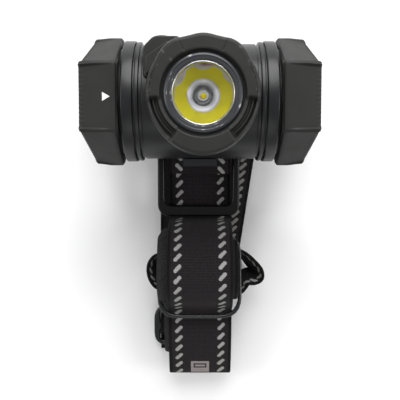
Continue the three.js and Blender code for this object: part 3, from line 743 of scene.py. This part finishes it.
def guard_skin(columns=360):
    sections = [guard_section(360 * i / columns) for i in range(columns)]
    rows = []
    for k in range(len(sections[0])):
        row = []
        for i, section in enumerate(sections):
            angle = math.radians(360 * i / columns)
            radius, height = section[k]
            row.append((radius * math.cos(angle), radius * math.sin(angle), height))
        rows.append(row)
    return loft(rows, closed_along=True)


def guard_arm():
    """The guard's flat arm towards the switch block, with a narrow gap beyond it."""
    corners = [(-17.2, 6.0), (-10.5, 9.5), (-7.4, 15.6), (-10.2, 16.5), (-16.9, 11.7)]
    middle = Vector((-12.6, 11.8))
    rim = softened([(x, y, 0.6) for x, y in corners], 4)
    levels = [(0.0, 21.2), (0.97, 21.2), (1.0, 21.6), (1.0, 26.6), (0.98, 27.0), (0.93, 27.2), (0.0, 27.2)]
    rows = [[(middle.x + (x - middle.x) * share, middle.y + (y - middle.y) * share, height) for x, y in rim]
            for share, height in levels]
    make_piece("guard_arm", loft(rows), GUARD, "lamp", lift=AXIS_Z)


def bezel_guard():
    make_piece("shaped_guard", guard_skin(), GUARD, "lamp", ["bezel_guard"], lift=AXIS_Z,
               aside=HEAD_X, sharp=32)


def lens_rings():
    stepped = softened([
        (9.95, 29.75, 0.1), (12.3, 29.75, 0.1), (12.3, 30.45, 0.2), (11.5, 30.8, 0.15), (11.2, 30.5, 0.1),
        (10.35, 30.5, 0.15), (9.95, 30.1, 0.1),
    ])
    make_piece("stepped_lens_ring", spun(stepped, 144), RING_METAL, "lamp", ["lens_ring"],
               lift=AXIS_Z, aside=HEAD_X, sharp=28)
    rim = softened([(9.35, 28.55, 0.1), (9.9, 28.55, 0.1), (9.9, 30.0, 0.25), (9.6, 30.0, 0.2)])
    make_piece("bright_rim", spun(rim, 144), CHROME, "lamp", lift=AXIS_Z, aside=HEAD_X)


def reflector_cup():
    """A deep parabolic cup with a flange under the lens."""
    inside = []
    for k in range(25):
        radius = 3.0 + (9.55 - 3.0) * k / 24
        inside.append((radius, 21.4 + 5.4 * ((radius**2 - 9.0) / (9.55**2 - 9.0))))
    profile = inside + [(11.2, 26.8), (11.2, 26.0), (9.9, 26.0)]
    outside = [(r + 0.45, h - 0.35) for r, h in reversed(inside[:-1])]
    outside[-1] = (3.45, 21.4)
    make_piece("reflector_cup", spun(profile + outside, 120), PAINTED_REFLECTION_MIRROR, "lamp", ["reflector"],
               lift=AXIS_Z, aside=HEAD_X, sharp=40)


def light_source():
    """The emitter: a ceramic ring round a stepped white base, and a small yellow dome on it."""
    base = softened([(0.0, 20.9, 0), (1.75, 20.9, 0), (1.75, 21.5, 0.12), (1.3, 21.62, 0.1),
                     (0.0, 21.62, 0)], 3)
    make_piece("emitter_base", spun(base, 48), CERAMIC, "lamp", ["led_base"], lift=AXIS_Z,
               aside=HEAD_X)
    dome = [(0.0, 21.8), (1.0, 21.8)]
    dome += [
        (1.0 * math.cos(math.radians(a)), 21.8 + 0.85 * math.sin(math.radians(a)))
        for a in range(10, 91, 10)
    ]
    make_piece("emitter_dome", spun(dome, 40), PHOSPHOR, "lamp", ["led_dome"], lift=AXIS_Z,
               aside=HEAD_X)


CAP_FLAT = 19.75
CAP_INNER = 27.0
CAP_OUTER = 39.9


def cap_radius(angle):
    """Distance from the axis to the cap's side; flats face up and down, and the corners are rounded."""
    total = 0.0
    for k in range(6):
        reach = math.cos(angle - math.radians(60 * k)) / CAP_FLAT
        total += max(0.0, reach) ** 70
    return total ** (-1 / 70)


def cap_angles():
    """Angles from straight up, close together at the recess's sides and even between them."""
    stops = [-11.4, -11.15, -10.9, -10.72, -10.56, -10.4, -10.2]
    stops += list(np.linspace(-9.9, 9.9, 62)) + [-s for s in reversed(stops)][:-1]
    return [math.radians(60 * k) + math.atan(t / CAP_FLAT) for k in range(6) for t in stops]


def cap_point(angle, share):
    """A point on the cap's side: share runs from 0 at the inner end to 1 at the outer end."""
    near = angle - math.radians(60) * round(angle / math.radians(60))
    radius = cap_radius(angle)
    side = CAP_FLAT * math.tan(near)
    end = cap_end(radius * math.sin(angle))
    x = CAP_INNER + (end - CAP_INNER) * share
    within = eased(abs(side), 10.75, 10.35)
    corner = eased(abs(side), 10.0, 11.3) * 0.55 * eased(x, end - 5.5, end)
    depth = 1.35 * max(0.0, (x - 29.0) / (CAP_OUTER - 29.0)) * within + corner
    rib = 0.11 * math.cos(2 * math.pi * side / 1.6) * eased(x, end - 1.6, end - 0.7) * within
    return x, radius - (depth + rib) / math.cos(near)


def cap_end(y):
    """The outer end's X; it falls away towards the front and back corners."""
    beyond = max(0.0, abs(y) - 10.6)
    return CAP_OUTER - beyond * beyond / (beyond + 1.1) * 0.262


def cap_end_point(angle, shrink, dip):
    radius = (cap_point(angle, 1.0)[1] - 0.4) * shrink
    return cap_end(radius * math.sin(angle)) - dip, radius


def cap_skin():
    angles = cap_angles()
    shares = [0.0, 0.03, 0.06] + list(np.linspace(0.1, 0.9, 22)) + [0.93, 0.96, 0.985, 1.0]
    rows = []

    def add_row(place):
        row = []
        for angle in angles:
            x, radius = place(angle)
            row.append((x, radius * math.sin(angle), radius * math.cos(angle)))
        rows.append(row)

    add_row(lambda angle: (36.2, 0.0))
    add_row(lambda angle: (36.2, 18.9))
    add_row(lambda angle: (CAP_INNER + 0.4, 18.9))
    add_row(lambda angle: (CAP_INNER, 19.1))
    add_row(lambda angle: (CAP_INNER, 0.5 * (19.1 + cap_radius(angle))))
    for share in shares:
        inset = 0.9 * (1 - eased(share, 0.0, 0.08)) + 0.4 * eased(share, 0.95, 1.0)
        add_row(lambda angle: (cap_point(angle, share)[0], cap_point(angle, share)[1] - inset))
    for shrink, dip in ((0.975, 0.0), (0.93, 0.05), (0.86, 0.5), (0.8, 0.55), (0.4, 0.55), (0.0, 0.55)):
        add_row(lambda angle: cap_end_point(angle, shrink, dip))
    return loft(rows)


def end_caps():
    points, faces = cap_skin()
    make_piece("faceted_cap_right", (points, faces), GUARD, "lamp", ["right_end_cap"],
               lift=AXIS_Z, sharp=30)
    turned_round = [(-x, -y, z) for x, y, z in points]
    make_piece("faceted_cap_left", (turned_round, faces), GUARD, "cap", ["left_end_cap"],
               lift=AXIS_Z, sharp=30)


def open_arrow():
    """The painted arrow that shows which way the cap opens."""
    low, high = node_box("open_mark")
    corners = [(low.x, low.y), (high.x, (low.y + high.y) / 2), (low.x, high.y)]
    mesh = cut_plate("painted_arrow", [corners], low.z, 0.1, 0.03)
    for vertex in mesh.vertices:
        x, _, z = vertex.co / MM
        surface = AXIS_Z + cap_point(0.0, (-x - CAP_INNER) / (CAP_OUTER - CAP_INNER))[1]
        vertex.co.z = (surface + z - low.z) * MM
    finish_plate(mesh, MARKING, "cap", ["open_mark"])


def switch_block():
    """The switch housing beside the guard: its outer corner is cut off and its top edge slopes back."""
    low, high = node_box("switch_housing")
    outline = [
        (low.x + 3.6, high.y), (high.x, high.y), (high.x, high.y - 6.6), (high.x - 3.4, low.y),
        (low.x, low.y), (low.x, high.y - 3.6),
    ]
    centre = Vector((sum(x for x, y in outline) / 6, sum(y for x, y in outline) / 6))
    levels = [(0.0, 0.0), (0.98, 0.0), (1.0, 0.3), (1.0, 5.0), (0.985, 9.4), (0.955, 10.7), (0.90, 11.15),
              (0.5, 11.2), (0.0, 11.2)]
    rim = softened([(x, y, 1.3) for x, y in outline], 5)
    rows = [[(centre.x + (x - centre.x) * share, centre.y + (y - centre.y) * share, low.z + height) for x,
             y in rim]
            for share, height in levels]
    make_piece("moulded_switch_block", loft(rows), GUARD, "lamp", ["switch_housing"])


def switch_cap():
    low, high = node_box("switch_button")
    centre_x = (low.x + high.x) / 2
    centre_z = (low.z + high.z) / 2
    radius = (high.x - low.x) / 2
    profile = [(0.0, low.y), (radius, low.y), (radius, low.y + 0.6), (radius - 0.25, high.y - 0.5)]
    profile += [(radius - 0.6, high.y - 0.1), (radius - 1.0, high.y), (radius - 1.4, high.y - 0.2)]
    profile += [(0.9, high.y - 0.3), (0.6, high.y - 0.05), (0.0, high.y - 0.05)]
    points, faces = spun(profile, 48)
    placed = [(centre_x + x, z, centre_z + y) for x, y, z in points]
    make_piece("rubber_switch_cap", (placed, faces), RUBBER, "button", ["switch_button"])


# ---- Bracket and buckles ---------------------------------------------------------------------


def window(low_x, high_x, low_y, high_y, rounding):
    corners = [(low_x, low_y), (high_x, low_y), (high_x, high_y), (low_x, high_y)]
    return softened([(x, y, rounding) for x, y in corners], 6)


def strap_plate():
    """The plate under the lamp: a slot at each side, one for the crown strap, and a loop beyond it."""
    low, high = node_box("strap_plate")
    shoulder = -15.5
    left, right = -17.0, 15.8
    rim = softened([
        (high.x, high.y, 3), (low.x, high.y, 3), (low.x, shoulder, 3), (left, shoulder, 1.2),
        (left, low.y, 5.2), (right, low.y, 5.2), (right, shoulder, 1.2), (high.x, shoulder, 3),
    ], 8)
    outlines = [rim, window(left + 2.8, right - 2.8, low.y + 4.5, -17.3, 3.2),
                window(-13.4, 13.4, -13.8, -10.8, 0.8)]
    outlines += [window(side - 1.5, side + 1.5, -13, 13, 1.0) for side in (-18, 18)]
    outlines += [window(x - 2.8, x + 2.8, y - 2.8, y + 2.8, 2.7) for x in (-8, 8) for y in (-6, 6)]
    mesh = cut_plate("moulded_strap_plate", outlines, low.z, high.z - low.z, 0.75)
    finish_plate(mesh, SHADE_DARKENED_PLASTIC, "bracket", ["strap_plate"])


def crown_ring():
    """A thin square ring of moulded plastic, tilted over the folded headband."""
    outlines = [window(-16.4, 16.4, -16.5, 16.5, 8.5), window(-15.0, 15.0, -15.1, 15.1, 7.6)]
    low, high = node_box("crown_ring")
    centre = (low + high) / 2
    tilt = Matrix.Translation(centre * MM) @ Matrix.Rotation(math.radians(-7.7), 4, "X")
    mesh = cut_plate("thin_crown_ring", outlines, -1.0, 2.0, 0.6, tilt)
    finish_plate(mesh, BUCKLE, "bracket", ["crown_ring"])


def slide_buckle():
    """The three-bar slide that sets the headband's length."""
    low, high = node_box("slide_buckle")
    outlines = [window(-15.2, 15.2, -8.4, 8.4, 5.5), window(-12.6, 12.6, 1.3, 6.2, 1.0)]
    outlines.append(window(-12.6, 12.6, -6.2, -1.3, 1.0))
    place = Matrix.Translation((low + high) / 2 * MM)
    mesh = cut_plate("three_bar_slide", outlines, -1.1, 2.2, 0.6, place)
    finish_plate(mesh, BUCKLE, "bracket", ["slide_buckle"])


def forehead_pad():
    """A thin crowned pad of foam, glued under the plate."""
    low, high = node_box("forehead_pad")
    middle = (low + high) / 2
    outline = softened([
        (x, y, 4.0) for x, y in ((low.x, low.y), (high.x, low.y), (high.x, high.y), (low.x, high.y))
    ], 8)
    fine = [outline[0]]
    for i in range(len(outline)):
        start, end = Vector(outline[i]), Vector(outline[(i + 1) % len(outline)])
        steps = max(1, round((end - start).length / 1.2))
        fine += [tuple(start.lerp(end, (k + 1) / steps)) for k in range(steps)]
    rows = []
    levels = [(0.0, 0.0), (0.5, 0.0), (0.86, 0.08), (0.96, 0.4), (0.99, 1.1), (0.96, 1.75), (0.88, 2.1),
              (0.5, 2.2), (0.0, 2.2)]
    for share, height in levels:
        rows.append([(middle.x + (x - middle.x) * share, middle.y + (y - middle.y) * share, low.z + height)
                     for x, y in fine[:-1]])
    pad = make_piece("crowned_forehead_pad", loft(rows), FOAM, "bracket", ["forehead_pad"], sharp=70)


# ---- Straps ----------------------------------------------------------------------------------

ACROSS = np.array(sorted({*np.linspace(-HALF_STRAP, HALF_STRAP, 25), *(s * (HALF_STRAP - k) for s in (-1, 1)
                                                                     for k in (0.12, 0.35, 0.65))}))


def strap_skin(grid, across, along, thickness=STRAP_THICKNESS):
    """A closed skin round a sheet of middle points, thin at its two selvedges, and its measure."""
    run = np.gradient(grid, axis=0)
    side = np.gradient(grid, axis=1)
    normal = np.cross(side, run)
    normal /= np.linalg.norm(normal, axis=2)[:, :, None] + 1e-12
    reach = (across[-1] - across[0]) / 2
    middle = (across[-1] + across[0]) / 2
    near_edge = np.clip((np.abs(across - middle) - (reach - 0.6)) / 0.6, 0, 1)
    half = thickness / 2 * np.sqrt(1 - 0.9 * near_edge**2)
    upper = grid + normal * half[None, :, None]
    lower = grid - normal * half[None, :, None]
    rings = np.concatenate([upper, lower[:, ::-1]], axis=1)
    count = rings.shape[1]
    points = [tuple(p) for p in rings.reshape(-1, 3)]
    measure = [(u, v) for v in along for u in (*across, *across[::-1])]
    faces = loft([[None] * count] * len(grid))[1]
    columns = len(across)
    for start, flip in ((0, False), ((len(grid) - 1) * count, True)):
        for j in range(columns - 1):
            face = (start + j, start + j + 1, start + count - 2 - j, start + count - 1 - j)
            faces.append(face[::-1] if flip else face)
    return points, faces, measure


def strap_piece(name, grid, across, along, finish, stands_for, with_pieces=()):
    points, faces, measure = strap_skin(grid, across, along)
    piece = make_piece(name, (points, faces), finish, "bracket", stands_for, sharp=60, weld=False)
    layer = piece.data.uv_layers.new(name="Measure")
    for loop in piece.data.loops:
        layer.data[loop.index].uv = measure[loop.vertex_index]
    tidy = bmesh.new()
    tidy.from_mesh(piece.data)
    bmesh.ops.recalc_face_normals(tidy, faces=tidy.faces)
    tidy.to_mesh(piece.data)
    tidy.free()
    return piece


def measured(route, start=0.0):
    return start + np.concatenate([[0], np.cumsum(np.linalg.norm(np.diff(route, axis=0), axis=1))])


def lying_grid(route, centre_x, across=ACROSS):
    """A strap whose width runs along X over a route of (y, z)."""
    grid = np.zeros((len(route), len(across), 3))
    grid[:, :, 0] = centre_x + across[None, :]
    grid[:, :, 1] = route[:, 0, None]
    grid[:, :, 2] = route[:, 1, None]
    return grid


CROWN_ROUTE = smooth_route([
    (-26, 11.2), (-22, 12.1), (-18, 12.5), (-14.8, 12.7), (-13.2, 12.1), (-12.5, 10.6), (-12.6, 8.4),
    (-13.6, 7.1), (-16, 6.6), (-22, 6.5), (-30, 6.5), (-38.5, 6.6), (-42.6, 6.9), (-44.7, 8.4), (-45.3, 13),
    (-46.2, 17.5), (-48.4, 22), (-52, 26), (-57, 29.6), (-62.5, 31.4), (-68, 31.2), (-73, 28.4),
    (-76.2, 24.2),
    (-78.6, 20), (-82, 17.8), (-86, 17.2), (-90, 16.6), (-97, 14.7), (-103, 12.2), (-106.6, 10.4),
    (-107.8, 8.9), (-106.8, 7.5), (-104.6, 7.6),
], 0.7)


def label_patch():
    """A blank woven patch sewn near the crown strap's end."""
    route = offset_route(CROWN_ROUTE, -(STRAP_THICKNESS / 2 + 0.12))
    route = evenly_spaced(route[(route[:, 0] < -102.0) & (route[:, 1] > 10.2)], 0.4)
    across = np.linspace(-3.7, 3.7, 16)
    points, faces, _ = strap_skin(lying_grid(route, 0.0, across), across, measured(route), 0.3)
    return make_piece("blank_woven_patch", (points, faces), PATCH, "bracket", ["label_patch"],
                      sharp=60)


def crown_strap():
    along = measured(CROWN_ROUTE)
    grid = lying_grid(CROWN_ROUTE, 0.0)
    strap_piece("crown_strap_webbing", grid, ACROSS, along, STRAP_CLOTH, ["crown_strap"],
                [label_patch()])


def crown_return():
    """The doubled layer inside the crown strap; its left margin hangs down beside it."""
    up = np.flatnonzero((CROWN_ROUTE[:, 1] > 17.5) & (np.arange(len(CROWN_ROUTE)) > 40))[0]
    down = np.flatnonzero(CROWN_ROUTE[:, 0] < -99.8)[0]
    route = offset_route(CROWN_ROUTE, 1.75)[up:down]
    height = np.clip((route[:, 1] - 17.5) / 5, 0, 1)
    grid = lying_grid(route, -3.0)
    grid[:, :, 0] -= 2.1 * height[:, None]
    margin, bend = 6.9, 4.2
    past = np.maximum(0, -margin - ACROSS)
    grid[:, :, 0] += (past - bend * np.sin(past / bend))[None, :]
    grid[:, :, 2] -= bend * (1 - np.cos(past / bend))[None, :]
    strap_piece("crown_strap_inner_layer", grid, ACROSS, measured(route, 2.0), BACK_CLOTH,
                ["crown_strap_return"])


def crown_tail():
    """The crown strap's tail, tucked under the doubled layer and showing at its right."""
    route = offset_route(CROWN_ROUTE, 3.3)
    route = route[(route[:, 1] > 20.5) & (route[:, 0] < -50) & (route[:, 0] > -83)]
    grid = lying_grid(route, 2.1)
    strap_piece("crown_strap_tail", grid, ACROSS, measured(route), BACK_CLOTH, [])


PLATE_HALF = node_box("strap_plate")[1].x
PLATE_TOP = node_box("strap_plate")[1].z


def folded_band(side, fold_x, before, after, length, slant=0.0, drop=0.0, hump=None):
    """Half of the headband: over its slot's bar, in behind the plate, and down from a diagonal fold."""
    outer = PLATE_HALF + 0.9
    wrap = smooth_route([
        (17.9, 7.2), (17.9, 10), (18.3, 11.8), (19.8, PLATE_TOP + 1), (21.8, PLATE_TOP + 1.1),
        (outer + 0.1, 11.9),
        (outer + 0.3, 9.6), (outer + 0.2, before + 3.2), (outer - 0.6, before + 1.2),
        (outer - 2.2, before + 0.6), (18, before + 0.6),
    ], 0.6)
    wrap_length = measured(wrap)[-1]
    radius = (before - after) / 2
    turn = math.pi * radius
    line = side * fold_x + turn / math.sqrt(2)
    total = wrap_length + (18 - side * fold_x) + HALF_STRAP + length
    stops = np.linspace(0, total, round(total / 0.45) + 1)
    grid = np.zeros((len(stops), len(ACROSS), 3))
    for i, stop in enumerate(stops):
        for j, u in enumerate(ACROSS):
            grid[i, j] = band_point(side, stop, u, wrap, wrap_length, line, radius, turn, before, after,
                                    slant, drop)
    if hump is not None:
        hump(grid)
    return grid, stops


def band_point(side, stop, u, wrap, wrap_length, line, radius, turn, before, after, slant, drop):
    """One point of a headband half, for the right side, mirrored for the left."""
    if stop < wrap_length:
        travelled = measured(wrap)
        x = np.interp(stop, travelled, wrap[:, 0])
        z = np.interp(stop, travelled, wrap[:, 1])
        return side * x, u, z
    x, y = 18 - (stop - wrap_length), u
    past = (y - (x - line)) / math.sqrt(2)
    middle = (before + after) / 2 + 0.6
    if past <= 0:
        return side * x, y, before + 0.6
    foot_x, foot_y = x + past / math.sqrt(2), y - past / math.sqrt(2)
    if past < turn:
        reach = radius * math.sin(past / radius)
        z = middle + radius * math.cos(past / radius)
    else:
        reach = turn - past
        z = after + 0.6
    x, y = foot_x - reach / math.sqrt(2), foot_y + reach / math.sqrt(2)
    beyond = max(0.0, -13.5 - y)
    settled = min(1.0, beyond / 8)
    share = (x - (line - turn / math.sqrt(2)) + HALF_STRAP) / STRAP_WIDTH
    x -= slant * max(0.0, beyond - 6)
    return side * x, y, z - drop * min(1.0, max(0.0, share)) * settled * settled * (3 - 2 * settled)


def headband_right():
    grid, along = folded_band(1, 10, 4.5, 3, 46, slant=math.tan(math.radians(8.7)), drop=2.6)
    strap_piece("headband_right_webbing", grid, ACROSS, along + 1.4, BAND_CLOTH, ["headband_right"])


def headband_left():
    buckle_y = (node_box("slide_buckle")[0].y + node_box("slide_buckle")[1].y) / 2

    def over_bar(grid):
        away = np.abs(grid[:, :, 1] - buckle_y)
        rise = np.interp(away, [0, 1.2, 3, 4.2, 6.6], [4.45, 4.45, 3.1, 0.9, 0.05], right=0)
        grid[:, :, 2] += np.where(grid[:, :, 2] < 1, rise, 0)

    grid, along = folded_band(-1, -4, 1.5, 0.04, 88, hump=over_bar)
    strap_piece("headband_left_webbing", grid, ACROSS, along, BACK_CLOTH, ["headband_left"])


def standing_grid(route, base, across, flare, outward=1):
    """A strap standing on its edge along a route of (x, y), leaning outward towards its top."""
    run = np.gradient(route, axis=0)
    run /= np.linalg.norm(run, axis=1)[:, None]
    left = np.stack([-run[:, 1], run[:, 0]], axis=1) * outward
    height = across - across[0]
    lean = np.interp(height, [0, height[-1]], flare)
    ends = np.sin(np.linspace(0, math.pi, len(route))) ** 0.6
    grid = np.zeros((len(route), len(across), 3))
    for k in range(2):
        grid[:, :, k] = route[:, k, None] + left[:, k, None] * lean[None, :] * ends[:, None]
    grid[:, :, 2] = base + height[None, :]
    return grid


def standing_strap(name, points, base, height, flare, node, outward=1, finish=LIGHTENED_FOLD_CLOTH):
    route = smooth_route(points, 0.5)
    across = ACROSS[ACROSS >= HALF_STRAP - height - 0.3]
    grid = standing_grid(route, base, across, flare, outward)
    strap_piece(name, grid, across, measured(route), finish, [node])


def folded_length():
    """The spare headband, folded away under the crown strap and bulging out on both sides."""
    standing_strap("headband_inner_folds", [
        (14.2, -60.2), (4, -60.8), (-5, -60.4), (-10.5, -61.4), (-12, -64.8), (-10.5, -68.2), (-5, -69),
        (4, -68.6), (14.2, -69.2),
    ], 1.6, STRAP_WIDTH - 1.5, (0.0, 0.0), "headband_folds")
    standing_strap("headband_left_fold", [
        (-14, -58), (-17.4, -58.8), (-19.4, -61.4), (-19.8, -64.6), (-19, -68), (-17, -70.8), (-14, -71.6),
    ], 1.6, 15.6, (-3.4, 1.0), "headband_left_bulge", outward=-1)
    standing_strap("headband_right_fold", [
        (13.4, -56), (17, -57.6), (21, -61.2), (23.8, -65), (23.9, -67.6), (21.8, -68.9), (19, -69.2),
        (17.6, -71.2), (16.2, -73), (13.4, -73.2),
    ], 1.6, 15.2, (-3.6, 1.2), "headband_right_bulge")


def main():
    set_camera()
    set_light()
    make_floor()
    finish_cad_nodes()
    turned_tube()
    bezel_guard()
    guard_arm()
    lens_rings()
    reflector_cup()
    light_source()
    end_caps()
    open_arrow()
    switch_block()
    switch_cap()
    strap_plate()
    forehead_pad()
    crown_strap()
    crown_return()
    crown_tail()
    headband_right()
    headband_left()
    folded_length()
    crown_ring()
    slide_buckle()


main()
